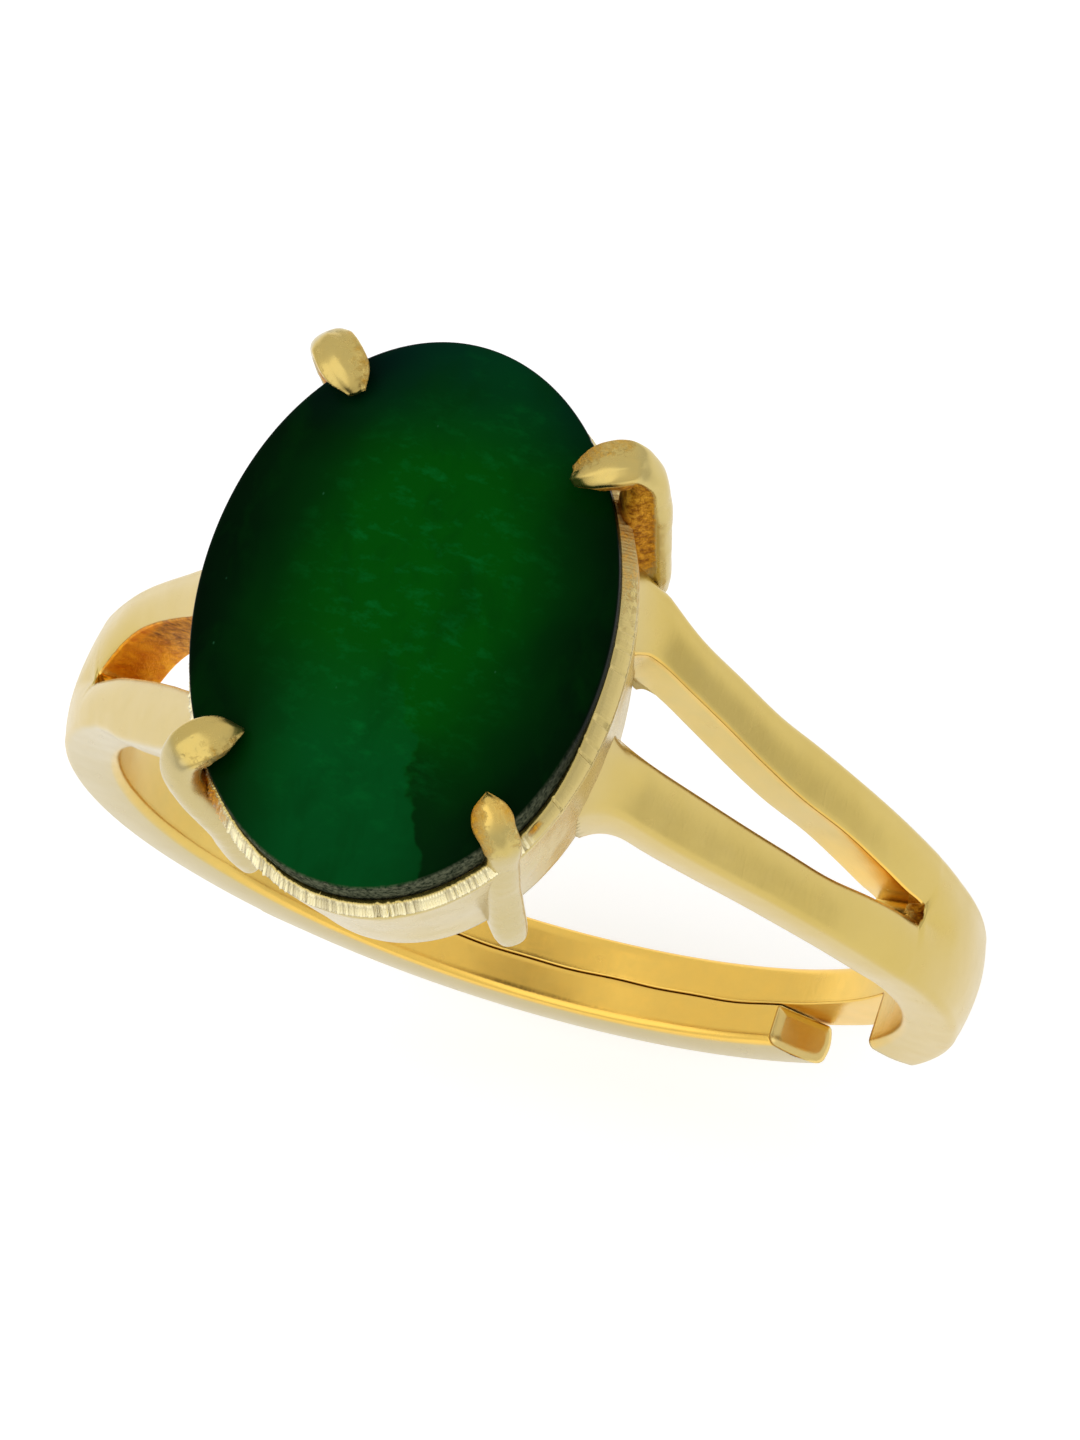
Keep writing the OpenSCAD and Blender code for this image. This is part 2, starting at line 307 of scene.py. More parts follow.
def emerald():
    """Deep green stone, cloudy in the middle, with painted light that leaves the middle brighter and the edge
    darker, and a frosted girdle.
    """
    n = Nodes("cloudy_emerald")
    split = n.node("SeparateXYZ", {}, Vector=n.place)
    x, y = split.outputs[0], split.outputs[1]
    along = n.math("DIVIDE", n.math("SUBTRACT", x, 0.25), GIRDLE_A)
    across = n.math("DIVIDE", y, GIRDLE_B / 0.67)
    out = n.math("SQRT", n.math("ADD", n.math("POWER", along, 2.0), n.math("POWER", across, 2.0)))
    drift = n.math("MULTIPLY", n.math("SUBTRACT", n.noise(0.34, 3.0), 0.5), 0.40)
    depth = n.math("ADD", out, drift)
    # the body colour runs from a brighter middle to a darker edge: painted light, as if coming back through
    # the stone
    body = n.ramp(depth, (0.0, (0.0004, 0.068, 0.0018)), (0.36, (0.0004, 0.060, 0.0018)),
                  (0.52, (0.0003, 0.042, 0.0018)), (0.68, (0.0003, 0.022, 0.0018)),
                  (0.84, (0.0002, 0.010, 0.0014)), (1.0, (0.0002, 0.005, 0.0010)))
    ends = n.mix(n.grey(across, 0.34, 0.62), (0.0, 0.0, 0.0), (0.0, 0.0, 0.007))
    body = n.mix(1.0, body, ends, "ADD")
    # a healed crack in the front left divides a teal zone from the rest
    wander = n.math("MULTIPLY", n.math("SUBTRACT", n.noise(0.9, 4.0), 0.5), 1.3)
    crack = n.math("ADD", n.math("ADD", x, n.math("MULTIPLY", y, 0.36)), wander)
    teal = n.math("MULTIPLY", n.grey(crack, 0.05, -0.03), n.grey(y, -1.2, -3.6))
    teal = n.math("MULTIPLY", teal, n.grey(n.math("ABSOLUTE", along), 0.62, 0.25))
    body = n.mix(n.math("MULTIPLY", teal, 0.75), body, (0.0004, 0.066, 0.011))
    beyond = n.math("MULTIPLY", n.grey(crack, 0.0, 0.06), n.grey(y, -2.6, -3.6))
    beyond = n.math("MULTIPLY", n.grey(crack, 1.6, 0.1), beyond)
    body = n.mix(n.math("MULTIPLY", beyond, 0.55), body, (0.0003, 0.012, 0.002))
    middle = n.grey(depth, 0.70, 0.25)
    # pale wisps, kept to the middle where they add to its painted light, darker clouds and a few pale seeds
    wisps = n.grey(n.noise(2.1, 6.0, 0.68, stretch=(0.8, 1.4, 1.0), warp=0.15, turn=(0, 0, 0.25)), 0.52, 0.78)
    body = n.mix(n.math("MULTIPLY", wisps, n.math("MULTIPLY", middle, 0.85)), body, (0.0010, 0.120, 0.018))
    shade = n.grey(n.noise(0.8, 4.0, 0.6, stretch=(1.3, 0.7, 1.0), warp=0.3), 0.50, 0.72)
    body = n.mix(n.math("MULTIPLY", shade, 0.40), body, (0.0003, 0.026, 0.0015))
    stretched = n.node("Mapping", {}, Vector=n.place, Scale=(1.4, 0.9, 1.0), Rotation=(0, 0, 0.8)).outputs[0]
    seed = n.node("TexVoronoi", {}, Vector=stretched, Scale=0.8, Randomness=1.0).outputs["Distance"]
    body = n.mix(n.math("MULTIPLY", n.grey(seed, 0.030, 0.012), 0.22), body, (0.05, 0.22, 0.10))
    # the ground girdle, frosted and grey only at the front, glossy and nearly black round the rest
    frost = n.attribute("pale")
    frost_grain = n.noise(9.0, 5.0, 0.7)
    ground = n.ramp(frost_grain, (0.38, (0.012, 0.020, 0.010)), (0.62, (0.13, 0.14, 0.085)))
    front = n.grey(n.math("ADD", n.math("MULTIPLY", y, -1.0), n.math("MULTIPLY", x, 0.30)), 3.0, 5.2)
    ground = n.mix(front, (0.0003, 0.003, 0.001), ground)
    colour = n.mix(frost, body, ground)
    frost = n.math("MULTIPLY", frost, front)
    roughness = n.math("ADD", n.math("MULTIPLY", frost_grain, 0.06), 0.16)
    roughness = n.math("ADD", n.math("MULTIPLY", frost, 0.5), roughness)
    swell = n.bump(n.noise(0.7, 2.0), 0.05, 0.05)
    normal = n.bump(n.math("MULTIPLY", frost_grain, frost), 0.8, 0.05, swell)
    return n.set(Base_Color=colour, Roughness=roughness, Normal=normal, Specular_IOR_Level=0.12, IOR=1.13)


SATIN = gold("satin_gold", (0.60, 0.45, 0.130), 0.25, 0.0)
CLAW = gold("claw_gold", (0.58, 0.45, 0.145), 0.27, 0.30)
DEEP = gold("deep_gold", (0.58, 0.40, 0.10), 0.36, 0.20)


# ---------------------------------------------------------------- fork and shank

# Distances along the outside of the band run up from the point beside the finger.
ARM_TURN = math.radians(33)           # where the arms leave the finger's circle
ARM_START = BAND_R * ARM_TURN
ARM_END = ARM_START + 8.5
STUB_END = -BAND_R * math.radians(34)
LEFT_STUB_END = -BAND_R * math.radians(45)
TAIL_END = -BAND_R * math.radians(124.5)
TAIL_Y = 0.90
SLANT = 0.55                          # how much shorter the tail's end is on the inside

# Rows of: distance up, edge on the stub's side, slot on the stub's side, slot on the tail's side, edge on the
# tail's side. Where both slot values are the same there is no slot.
FORK_RIGHT = [
    (13.0, -2.20, -0.78, 1.30, 2.62), (11.8, -2.20, -0.84, 1.06, 2.20), (10.3, -2.18, -0.87, 0.78, 1.90),
    (8.9, -2.12, -0.89, 0.50, 1.64), (7.6, -2.05, -0.89, 0.29, 1.52), (6.2, -2.00, -0.88, 0.17, 1.36),
    (4.8, -1.95, -0.72, -0.02, 1.20), (3.8, -1.90, -0.62, -0.13, 1.10), (3.0, -1.84, -0.56, -0.16, 1.04),
    (2.3, -1.76, -0.36, -0.36, 1.00), (0.0, -1.55, -0.22, -0.22, 0.95), (-3.0, -1.36, -0.08, -0.08, 0.92),
    (-6.0, -1.20, 0.0, 0.0, 0.90)]
# The same for the left fork, seen turned half a turn so that its tail is on the +Y side too
FORK_LEFT = [
    (13.3, -1.60, 0.00, 1.75, 3.20), (11.8, -1.56, -0.10, 1.60, 2.95), (10.3, -1.56, -0.32, 1.22, 2.66),
    (8.9, -1.60, -0.50, 0.88, 2.32), (7.6, -1.66, -0.60, 0.60, 1.98), (6.7, -1.68, -0.58, 0.42, 1.68),
    (5.9, -1.66, -0.40, 0.32, 1.46), (5.2, -1.62, -0.12, 0.24, 1.34), (4.8, -1.60, 0.02, 0.20, 1.28),
    (4.0, -1.56, -0.02, -0.02, 1.18), (2.3, -1.50, -0.10, -0.10, 1.04), (0.0, -1.42, -0.08, -0.08, 0.97),
    (-3.0, -1.32, -0.04, -0.04, 0.93), (-6.0, -1.20, 0.0, 0.0, 0.90)]
SLOT_END_RIGHT, SLOT_END_LEFT = 3.0, 4.8
# Rows of: distance up, thickness of the band without its dome
THICKNESS = [(-30, BAND_T), (0, BAND_T), (3, BAND_T), (6, BAND_T + 0.05), (9, BAND_T + 0.05),
             (11.2, BAND_T), (13.3, 0.85)]
EDGE_R = 0.22                         # rounding of the band's outer edges
SLOT_R = 0.05                         # rounding of the edges along the slot and between the tails
INNER_R = 0.20                        # rounding of the edges against the finger
CROWN = 0.19                          # how far the outside is domed
FILLET = 0.55                         # flare where an arm runs into the collet
FILLET_LENGTH = 1.35


def band_path():
    """Distance, outer point and outward direction, sampled along the outside of one side of the ring."""
    s = np.arange(-25, 16, 0.01)
    soft = 0.05
    angle = ARM_TURN - soft * np.log1p(np.exp((ARM_TURN - s / BAND_R) / soft))
    along = np.stack([-np.sin(angle), np.cos(angle)], 1)
    start = np.searchsorted(s, 0)
    place = np.cumsum(along * 0.01, axis=0)
    place += np.array([BAND_R, 0]) - place[start]
    # the lower band keeps exactly to the finger's circle
    low = s < 0
    ring = np.stack([np.cos(s / BAND_R), np.sin(s / BAND_R)], 1)
    place[low] = BAND_R * ring[low]
    out = np.stack([along[:, 1], -along[:, 0]], 1)
    out[low] = ring[low]
    return s, place, out


PATH_S, PATH_P, PATH_N = band_path()
HALF_TURN = np.array([-1, -1, 1])


def on_path(s):
    """Outer point and outward direction, each as (x, z), at distance s up the band."""
    place = np.array([np.interp(s, PATH_S, PATH_P[:, k]) for k in (0, 1)])
    out = np.array([np.interp(s, PATH_S, PATH_N[:, k]) for k in (0, 1)])
    return place, out


def up_the_band(s):
    """Direction along the band at distance s, towards the collet."""
    out = on_path(s)[1]
    return np.array([-out[1], 0, out[0]])


def thickness(s):
    return float(smooth_rows(THICKNESS, s)[0, 0])


def wall_margin(z):
    """How far the collet's outer wall stands outside the girdle at height z."""
    return WALL_LOW + (WALL_HIGH - WALL_LOW) * np.clip((z - COLLET_Z) / (BEVEL_Z - COLLET_Z), 0, 1)


def seat(points):
    """Points given from the setting's own centre and axes, moved to where the setting sits."""
    c, s = math.cos(SEAT_TURN), math.sin(SEAT_TURN)
    p = np.asarray(points, float)
    return np.stack([c * p[:, 0] - s * p[:, 1], s * p[:, 0] + c * p[:, 1] + SEAT_Y, p[:, 2]], 1)


def off_wall(points, margin):
    """Where points lie from an oval a margin outside the girdle, below 1 inside it, and its normal there."""
    c, s = math.cos(SEAT_TURN), math.sin(SEAT_TURN)
    x, y = points[:, 0], points[:, 1] - SEAT_Y
    u, v = c * x + s * y - WALL_SHIFT[0], c * y - s * x - WALL_SHIFT[1]
    a, b = GIRDLE_A + margin, GIRDLE_B + margin
    n = unit(np.stack([u / a**2, v / b**2], 1))
    normal = np.stack([c * n[:, 0] - s * n[:, 1], s * n[:, 0] + c * n[:, 1], np.zeros(len(n))], 1)
    return (u / a) ** 2 + (v / b) ** 2, normal


def half_loop(y_mid, y_edge, t, slot, crown_t, split):
    """Cross-section of half the band: rows of (y, height), from the middle round the outer edge and back.

    slot is 0 where the halves are joined and 1 where there is a slot between them. split goes from 0 to 1 as
    the one dome over the band turns into a dome over each half."""
    side = math.copysign(1, y_edge - y_mid)
    w = abs(y_edge - y_mid)
    r_e, r_i, r_s = min(EDGE_R, w / 3), min(INNER_R, w / 3), min(SLOT_R, w / 4)

    def dome(p):
        joined = 1 - (p / w) ** 2
        alone = 1 - ((p - w / 2) / (w / 2)) ** 2
        return crown_t * (joined * (1 - split) + 0.85 * alone * split)

    corner = np.linspace(0, math.pi / 2, 6)
    p = np.linspace(r_s * slot, w - r_e, 10)
    outer = np.stack([p, t + dome(p)], 1)
    top = t + dome(w - r_e)
    arc_o = np.stack([w - r_e + r_e * np.sin(corner[1:]), top - r_e + r_e * np.cos(corner[1:])], 1)
    h = np.linspace(top - r_e, r_i, 6)[1:-1]
    bulge = 0.03 * np.sin(np.pi * (h - r_i) / (top - r_e - r_i))
    flank = np.stack([w + bulge, h], 1)
    arc_i = np.stack([w - r_i + r_i * np.cos(corner[:-1]), r_i - r_i * np.sin(corner[:-1])], 1)
    q = np.linspace(w - r_i, r_s * slot, 10)
    inner = np.stack([q, np.zeros_like(q)], 1)
    skin = np.concatenate([outer, arc_o, flank, arc_i, inner])
    # the wall of the slot, from the inside of the band to the outside
    arc = corner[1:-1]
    foot = np.stack([r_s - r_s * np.sin(arc), r_s - r_s * np.cos(arc)], 1)
    face = np.stack([np.zeros(7), np.linspace(r_s, t - r_s, 7)], 1)
    head = np.stack([r_s - r_s * np.cos(arc), t - r_s + r_s * np.sin(arc)], 1)
    wall = np.concatenate([foot, face, head])
    line = np.stack([np.zeros(len(wall)), np.linspace(0, t + crown_t * (1 - split), len(wall) + 2)[1:-1]], 1)
    wall = wall if slot > 0.5 else line
    to_y = lambda rows: np.stack([y_mid + side * rows[:, 0], rows[:, 1]], 1)
    return to_y(skin), to_y(wall)


def set_out(rows, s, t):
    """Cross-section rows of (y, height) to points in space at distance s along the band."""
    place, out = on_path(s)
    rise = rows[:, 1] - t
    return np.stack([place[0] + out[0] * rise, rows[:, 0], place[1] + out[1] * rise], 1)


def into_collet(points, s, turned):
    """How far points have to go along the arm to reach the collet, found by halving the stretch repeatedly.
    Also the arm's direction, and the wall's normal where each point arrives."""
    flip = HALF_TURN if turned else np.ones(3)
    ahead = up_the_band(s)
    lo, hi = np.full(len(points), -6.0), np.full(len(points), 8.0)
    for _ in range(30):
        mid = (lo + hi) / 2
        at = (points + mid[:, None] * ahead) * flip
        where, normal = off_wall(at, wall_margin(at[:, 2]))
        lo, hi = np.where(where > 1, mid, lo), np.where(where > 1, hi, mid)
    return lo, ahead, normal * flip


def slanted(ring, s, weight):
    """A ring of the tail. The tail's end is cut at a slant, shorter on the inside."""
    slant = SLANT * (1 - ring[:, 1] / BAND_T) * weight
    return set_out(ring, s, BAND_T) + up_the_band(s) * slant[:, None]


def shank_tones(ring, tail_side, s):
    """Warm against the finger, a painted reflection that grows towards the bottom of the ring, and pale on
    the flank of the tail's half, a painted sheen.
    """
    y, h = ring[:, 0], ring[:, 1]
    inner = ease((0.25 - h) / 0.2)
    edge = np.abs(y).max() if tail_side else -1.0
    flank = ease((np.abs(y) - edge + 0.10) / 0.08) * ease((h - 0.10) / 0.1) * tail_side
    # painted reflection on the face against the finger, growing towards the bottom of the ring
    deep = 0.28 + 0.60 * float(ease((-s - 4) / 6))
    return {"warm": deep * inner, "pale": 0.75 * flank * (1 - inner)}


class Fork:
    """One casting: two arms, the shoulder, the stub, and the tail, as a single closed surface.

    It is built with its tail on the +Y side, and turned gives the half turn that makes it the other fork.
    rust is how much cast skin is left on the slot's two walls."""

    def __init__(self, name, rows, slot_end, stub_end, turned, rust):
        self.rows, self.slot_end, self.stub_end = rows, slot_end, stub_end
        self.turned, self.rust = turned, rust
        self.shell = Shell()
        self.arms(self.band(self.tail()))
        if turned:
            self.shell.points = [p * HALF_TURN for p in self.shell.points]
        self.piece = self.shell.object(name, SATIN)

    def halves(self, s, slot):
        """Cross-sections of the stub's half and of the tail's half, each as skin and wall."""
        split = float(ease((s - self.slot_end + 1.7) / 1.6))
        stub_edge, stub_slot, tail_slot, tail_edge = smooth_rows(self.rows, s)[0]
        if not slot:
            stub_slot = tail_slot = (stub_slot + tail_slot) / 2
        return (half_loop(stub_slot, stub_edge, thickness(s), slot, CROWN, split),
                half_loop(tail_slot, tail_edge, thickness(s), slot, CROWN, split))

    def wander(self, points):
        """The seam between the two tails is not quite straight."""
        way = -1 if self.turned else 1
        x = points[:, 0] * way
        shift = (0.018 * np.sin(1.3 * x + 0.5) + 0.010 * np.sin(3.3 * x)) * ease((6.6 - np.abs(x)) / 1.5)
        near = np.clip(1 - (points[:, 1] - TAIL_GAP / 2) / 0.3, 0, 1)
        points[:, 1] += shift * near * way
        return points

    def tail(self):
        """The tail, from its rounded end up to the stub. Returns its last loop."""
        y_in = TAIL_GAP / 2
        flat = np.concatenate(half_loop(y_in, TAIL_Y, BAND_T, 1, CROWN * 0.6, 1))
        middle = np.array([(y_in + TAIL_Y) / 2, BAND_T / 2])
        half = np.array([(TAIL_Y - y_in) / 2, BAND_T / 2])
        loops = []
        for back, shrink in ((0, 0.30), (0, 0.19), (0, 0.17), (0.02, 0.10), (0.06, 0.04), (0.12, 0.0)):
            ring = middle + (flat - middle) * (1 - shrink / half)
            points = self.wander(slanted(ring, TAIL_END + back, 1.0))
            # the tail's end face is lightened with a painted highlight
            loops.append(self.shell.add(points, warm=0.4, bright=0.2))
        self.shell.faces.append(loops[0])
        for s in np.linspace(TAIL_END + 0.14, self.stub_end - 0.03, 110):
            reach = float(ease((s - (self.stub_end - 1.2)) / 1.1))
            edge = TAIL_Y + (smooth_rows(self.rows, s)[0][3] - TAIL_Y) * reach
            skin, wall = half_loop(y_in, edge, BAND_T, 1, CROWN * (0.6 + 0.4 * reach), 1)
            ring = np.concatenate([skin, wall])
            tones = shank_tones(ring, True, s)
            tones["warm"][len(skin):] = 0.6
            points = self.wander(slanted(ring, s, max(0, 1 - (s - TAIL_END) / 1.4) ** 1.5))
            loops.append(self.shell.add(points, **tones))
        for a, b in zip(loops, loops[1:]):
            self.shell.strip(a, b, closed=True)
        return loops[-1]

    def stub_face(self, edge, skin, wall, s):
        """The stub's flat end with rounded edges. Returns the line where the tail's wall starts."""
        t = thickness(s)
        line = self.shell.add(set_out(wall, s, t), warm=0.6)
        face = np.concatenate([skin, wall])
        inside, outside = skin[0, 0], skin[:, 0].min()
        centre = np.array([(inside + outside) / 2, t / 2])
        half = np.array([abs(outside - inside) / 2, t / 2])
        rings = [edge + line]
        for back, shrink in ((0.03, 0.03), (0.08, 0.07), (0.12, 0.16), (0.12, 0.18), (0.12, 0.30)):
            ring = centre + (face - centre) * (1 - shrink / half)
            rings.append(self.shell.add(set_out(ring, s - back, t), warm=0.5, stain=0.25))
        for a, b in zip(rings, rings[1:]):
            self.shell.strip(a, b, closed=True)
        self.shell.faces.append(rings[-1])
        return line

    def slot_pocket(self, s):
        """The slot's end, filled towards the finger, with a pocket left near the outside, its upper part
        darkened with painted shade.
        """
        wall = self.halves(s, 0)[0][1]
        h, t = wall[:, 1], thickness(s)
        pocket = ease((h - 0.80) / 0.10) * ease((t - h + 0.02) / 0.15)
        # painted shade in the pocket, on the right fork only
        pocket_shade = ease((h - 0.80) / 0.08) * (not self.turned)
        points = set_out(wall, s, t) - up_the_band(s) * (0.48 * pocket)[:, None]
        return self.shell.add(points, stain=pocket_shade, warm=0.5 * (1 - pocket_shade))

    def band(self, tail_loop):
        """The joined stretch from the stub to the slot, where both halves share their middle points.
        Returns the loop that each arm starts from."""
        stretch = np.linspace(self.stub_end, self.slot_end - 0.10, 66)
        previous = None
        for s in stretch:
            (skin_a, wall_a), (skin_b, _) = self.halves(s, 0)
            own_b = skin_b[1:-1]
            a = self.shell.add(set_out(skin_a, s, thickness(s)), **shank_tones(skin_a, False, s))
            b = self.shell.add(set_out(own_b, s, thickness(s)), **shank_tones(own_b, True, s))
            b = [a[0], *b, a[-1]]
            if previous:
                self.shell.strip(previous[0], a)
                self.shell.strip(previous[1], b)
            else:
                line = self.stub_face(a, skin_a, wall_a, s)
                self.shell.strip(tail_loop, b + line, closed=True)
            previous = (a, b)
        line = self.slot_pocket(stretch[-1])
        return [previous[0] + line, previous[1] + line]

    def arm_tones(self, ring, in_slot, rise, side, s):
        """Cast skin in the slot, warm with a painted highlight along its outer edge and painted shade at its
        end, and pale painted sheen where the arm flares into the collet.
        """
        rust = self.rust[side] * float(ease((s - self.slot_end) / 0.5))
        # painted shade at the top of the slot's end, on the right fork only
        pocket_shade = ease((self.slot_end + 0.10 - s) / 0.08) * ease((ring[:, 1] - 0.85) / 0.10) * (not self.turned)
        # painted highlight along the slot's outer edge
        rim_highlight = in_slot * ease((ring[:, 1] - thickness(s) + 0.12) / 0.06)
        glow = (0.25 if self.turned else 0.16) + 0.48 * float(ease((self.slot_end + 4 - s) / 3))
        tones = shank_tones(ring, side == 1, s)
        tones["stain"] = in_slot * np.maximum(pocket_shade, rust)
        tones["warm"] = np.where(in_slot > 0, glow + 0.3 * rim_highlight, tones["warm"]) * (1 - pocket_shade)
        # painted sheen where the arm flares into the collet
        tones["pale"] = np.maximum(tones["pale"], 0.30 * rise)
        return tones

    def arm_ring(self, skin, wall, side, s):
        """One ring of an arm, flared where it nears the collet and stopped a little inside its wall."""
        t = thickness(s)
        ring = np.concatenate([skin, wall])
        points = set_out(ring, s, t)
        reach, ahead, normal = into_collet(points, s, self.turned)
        spread = points - points.mean(axis=0)
        spread = unit(spread - (spread * normal).sum(1, keepdims=True) * normal)
        rise = np.clip(1 - reach / FILLET_LENGTH, 0, 1) ** 2.5
        in_slot = np.concatenate([np.zeros(len(skin)), np.ones(len(wall))])
        by_slot = np.clip((ring[:, 1] > t * 0.6) * 1.0 + in_slot, 0, 1)
        by_slot = by_slot * np.exp(-((ring[:, 0] - wall[3, 0]) / 0.3) ** 2)
        flare = FILLET * rise * (1 - (0.9, 0.4)[side] * by_slot)
        points = points + spread * flare[:, None] + ahead * np.minimum(reach + 0.12, 0)[:, None]
        return self.shell.add(points, **self.arm_tones(ring, in_slot, rise, side, s))

    def arms(self, ends):
        near_slot_end = self.slot_end + np.array([0, 0.06, 0.13, 0.22, 0.34])
        for s in np.concatenate([near_slot_end, np.linspace(self.slot_end + 0.5, ARM_END, 84)]):
            for side, (skin, wall) in enumerate(self.halves(s, 1)):
                loop = self.arm_ring(skin, wall, side, s)
                self.shell.strip(ends[side], loop, closed=True)
                ends[side] = loop
        self.shell.faces.extend(ends)


fork_right = Fork("fork_and_shank_right", FORK_RIGHT, SLOT_END_RIGHT, STUB_END,
                  turned=False, rust=(0.0, 0.0)).piece
fork_left = Fork("fork_and_shank_left", FORK_LEFT, SLOT_END_LEFT, LEFT_STUB_END,
                 turned=True, rust=(1.0, 0.2)).piece
for side, piece in (("right", fork_right), ("left", fork_left)):
    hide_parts(f"arm_front_{side}", f"arm_rear_{side}", f"shoulder_{side}", f"shank_{side}")
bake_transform(fork_right)
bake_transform(fork_left)


# ---------------------------------------------------------------- collet, bearer and stone

def oval_ring(margin, z, count):
    """Points round an oval that keeps a margin outside the girdle, about the setting's own centre."""
    a = np.linspace(0, 2 * math.pi, count, endpoint=False)
    return np.stack([(GIRDLE_A + margin) * np.cos(a), (GIRDLE_B + margin) * np.sin(a), np.full(count, z)], 1)


def collet_profile():
    """Rows of (margin, height) up the outer face, over the bevel, and down the inner face."""
    low_in = WALL_LOW - WALL_T
    outer = [(low_in + 0.08, COLLET_Z), (WALL_LOW - 0.12, COLLET_Z), (WALL_LOW - 0.03, COLLET_Z + 0.04),
             (WALL_LOW + 0.02, COLLET_Z + 0.12)]
    outer += [(wall_margin(z), z) for z in np.linspace(COLLET_Z + 0.3, BEVEL_Z - 0.14, 16)]
    outer += [(WALL_HIGH - 0.045, BEVEL_Z - 0.09), (WALL_HIGH - 0.055, BEVEL_Z - 0.05),
              (WALL_HIGH - 0.01, BEVEL_Z - 0.02)]
    bevel = [(WALL_HIGH - 0.01, BEVEL_Z + 0.03), (WALL_HIGH - 0.05, BEVEL_Z + 0.12),
             (WALL_HIGH - 0.11, BEVEL_Z + 0.22), (WALL_HIGH - 0.15, RIM_Z - 0.02),
             (WALL_HIGH - RIM_IN, RIM_Z)]
    inner = [(RECESS + 0.02, RIM_Z), (RECESS, RIM_Z - 0.03), (RECESS, BEVEL_Z), (RECESS, RECESS_Z),
             (low_in + 0.03, COLLET_Z + 0.08), (low_in + 0.04, COLLET_Z + 0.02)]
    return outer, bevel, inner


def collet():
    """Oval wall with a bright-cut bevel. Each stroke of the graver leaves a small tooth along the bevel. The
    front is paler with painted sheen, and its teeth carry painted highlights.
    """
    per_tooth = 4
    teeth = 480
    count = per_tooth * teeth
    draw = np.random.default_rng(7)
    turn = np.linspace(0, 2 * math.pi, count, endpoint=False)
    front = ease((-np.sin(turn + 0.1) - 0.15) / 0.5) * (1 - ease((turn - 5.50) / 0.10))
    rear_right = np.exp(-((turn - 0.45) / 0.30) ** 2)
    strokes = 0.08 + 0.92 * np.maximum(front, 0.4 * rear_right)
    cut = np.repeat(draw.uniform(-1, 1, teeth), per_tooth) * strokes
    ridge = np.tile([0.0, 0.6, 1.0, 0.6], teeth) * strokes
    nick = np.repeat((draw.uniform(0, 1, teeth) > 0.93) * draw.uniform(0.3, 1, teeth), per_tooth)
    shell = Shell()
    outer, bevel, inner = collet_profile()
    lift = 0.30 * np.exp(-((turn - 4.02) / 0.30) ** 4)    # the rim stands higher beside the front left claw
    hug = 0.20 * np.exp(-((turn - 1.10) / 0.42) ** 2)     # it closes in behind the stone at the rear right
    side = np.where(turn > math.pi, turn - 2 * math.pi, turn)
    close = np.exp(-((side - 0.15) / 0.62) ** 4)          # it is pressed over the girdle at the right
    rings = []
    for k, (m, z) in enumerate(outer + bevel + inner):
        points = oval_ring(m, z, count)
        if z > BEVEL_Z + 0.01:
            up = (z - BEVEL_Z) / BEVEL_H * close
            points += unit(points * [1, 1, 0]) * (-0.13 * up)[:, None] + [0, 0, 1] * (0.20 * up)[:, None]
        closing = (1 - hug / 5 * max(0, (z - 12.5) / (RIM_Z - 12.5)))[:, None] * [1, 1, 0] + [0, 0, 1]
        if k < len(outer) + len(bevel):
            points = (points + [*WALL_SHIFT, 0]) * closing
        else:
            # the inner face keeps 0.1 mm clear of the outer one
            margin = wall_margin(z) if z < BEVEL_Z else WALL_HIGH - RIM_IN * (z - BEVEL_Z) / BEVEL_H
            skin = (oval_ring(margin - 0.10, z, count) + [*WALL_SHIFT, 0]) * closing
            nearer = np.linalg.norm(skin[:, :2], axis=1) < np.linalg.norm(points[:, :2], axis=1)
            points = np.where(nearer[:, None], skin, points)
        points[:, 2] += lift * max(0, (z - 13.8) / (RIM_Z - 13.8))
        away = unit(points * [1 / GIRDLE_A, 1 / GIRDLE_B, 0])
        tones = {}
        if len(outer) <= k < len(outer) + len(bevel) - 1:
            depth = 0.036 * ridge + 0.026 * cut - 0.05 * nick
            points = points + away * depth[:, None]
            points[:, 2] += 0.04 * cut * (k == len(outer)) - 0.03 * nick
            beside_left = np.exp(-((turn - 3.88) / 0.14) ** 2)
            beside_right = (k > len(outer) + 1) * np.exp(-((turn - 5.60) / 0.04) ** 2)
            # painted sheen on the bevel, strongest at the front, with painted highlights on the front teeth
            tones = {"pale": 0.20 + 0.80 * front,
                     "bright": np.clip(front * (0.75 + 0.7 * cut / strokes), 0, 1),
                     "stain": 0.35 * rear_right + 0.7 * beside_left + 0.6 * beside_right}
        elif k < len(outer):
            wave = np.array([0.05 * grain(p, 0.55, 3.1) + 0.012 * grain(p, 2.4, 8.7) for p in points])
            fade = max(0, min(1, (z - COLLET_Z) / 0.5, (BEVEL_Z - z) / 0.4))
            points = points + away * (wave * fade)[:, None]
            pale_sheen = np.array([0.5 + 0.5 * grain(p, 0.5, 5.0) for p in points])
            under_bevel = float(ease((z - BEVEL_Z + 0.9) / 0.8))
            patch = 0.8 * np.exp(-((turn - 3.93) / 0.09) ** 2)
            pitted = np.exp(-((turn - 0.40) / 0.22) ** 2)
            # painted sheen on the wall, strongest at the front and broken up at random
            tones = {"pale": (0.15 + 0.5 * front) * pale_sheen,
                     "stain": under_bevel * np.clip(0.75 * patch + 0.4 * pitted, 0, 1)}
        elif k > len(outer) + len(bevel):
            tones = {"stain": 0.6}
        rings.append(shell.add(seat(points), **tones))
    for a, b in zip(rings, rings[1:] + rings[:1]):
        shell.strip(a, b, closed=True)
    return shell.object("collet_wall", CLAW)


def inside_wall(z):
    """Margin of the collet's inner face at height z, below the recess for the girdle."""
    low = WALL_LOW - WALL_T
    return low + (RECESS - low) * (z - COLLET_Z) / (RECESS_Z - COLLET_Z)


